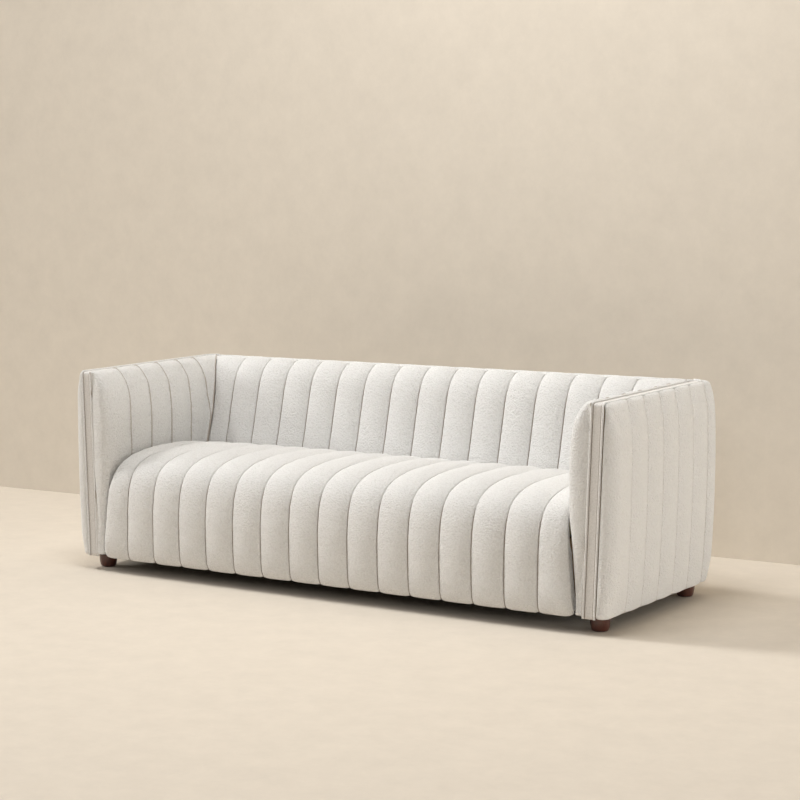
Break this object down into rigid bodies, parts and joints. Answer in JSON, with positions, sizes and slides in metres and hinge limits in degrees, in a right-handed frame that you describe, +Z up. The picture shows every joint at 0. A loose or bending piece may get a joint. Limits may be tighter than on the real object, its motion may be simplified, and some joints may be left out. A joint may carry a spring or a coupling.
{
  "type": "sofa",
  "caption": "Three-seater tuxedo sofa with a tight channelled seat, channelled arms level with the back and small turned wooden feet.",
  "frame": {"origin": "on the floor under the middle of the sofa's bounding box", "axes": "+X along the sofa, to the left arm as someone sits in it; -Y to the front; +Z up"},
  "size_m": [2.2326, 0.8664, 0.7648],
  "materials": {
    "upholstery": "matte",
    "foam": "matte",
    "steel": "satin",
    "tie_wire": "matte",
    "webbing": "matte",
    "board": "matte",
    "dust_cloth": "matte",
    "foot_wood": "satin",
    "glide": "matte",
    "timber": "matte"
  },
  "bodies": {
    "root": {"seat_cover": "upholstery", "seat_foam": "foam", "seat_springs": "steel", "spring_clips": "steel", "spring_ties": "tie_wire", "deck_cloth": "webbing", "back_cover": "upholstery", "back_foam": "foam", "back_webbing": "webbing", "back_upright_left": "timber", "back_upright_right": "timber", "back_uprights_middle": "timber", "back_top_rail": "timber", "back_tie_rail": "timber", "back_bottom_rail": "timber", "outer_back_board": "board", "outer_back_cover": "upholstery", "back_band": "upholstery", "back_piping": "upholstery", "front_rail": "timber", "rear_rail": "timber", "end_rail_left": "timber", "end_rail_right": "timber", "cross_rails": "timber", "corner_blocks": "timber", "arm_sill_left": "timber", "arm_sill_right": "timber", "arm_front_post_left": "timber", "arm_front_post_right": "timber", "arm_rear_post_left": "timber", "arm_rear_post_right": "timber", "arm_top_rail_left": "timber", "arm_top_rail_right": "timber", "arm_inner_board_left": "board", "arm_inner_board_right": "board", "arm_outer_board_left": "board", "arm_outer_board_right": "board", "arm_foam_left": "foam", "arm_foam_right": "foam", "arm_inner_cover_left": "upholstery", "arm_inner_cover_right": "upholstery", "arm_outer_cover_left": "upholstery", "arm_outer_cover_right": "upholstery", "arm_band_left": "upholstery", "arm_band_right": "upholstery", "arm_piping_left": "upholstery", "arm_piping_right": "upholstery", "dust_cover": "dust_cloth", "foot_front_left": "foot_wood", "foot_front_right": "foot_wood", "foot_rear_left": "foot_wood", "foot_rear_right": "foot_wood", "foot_bolts": "steel", "tee_nuts": "steel", "foot_glides": "glide"}
  },
  "joints": []
}
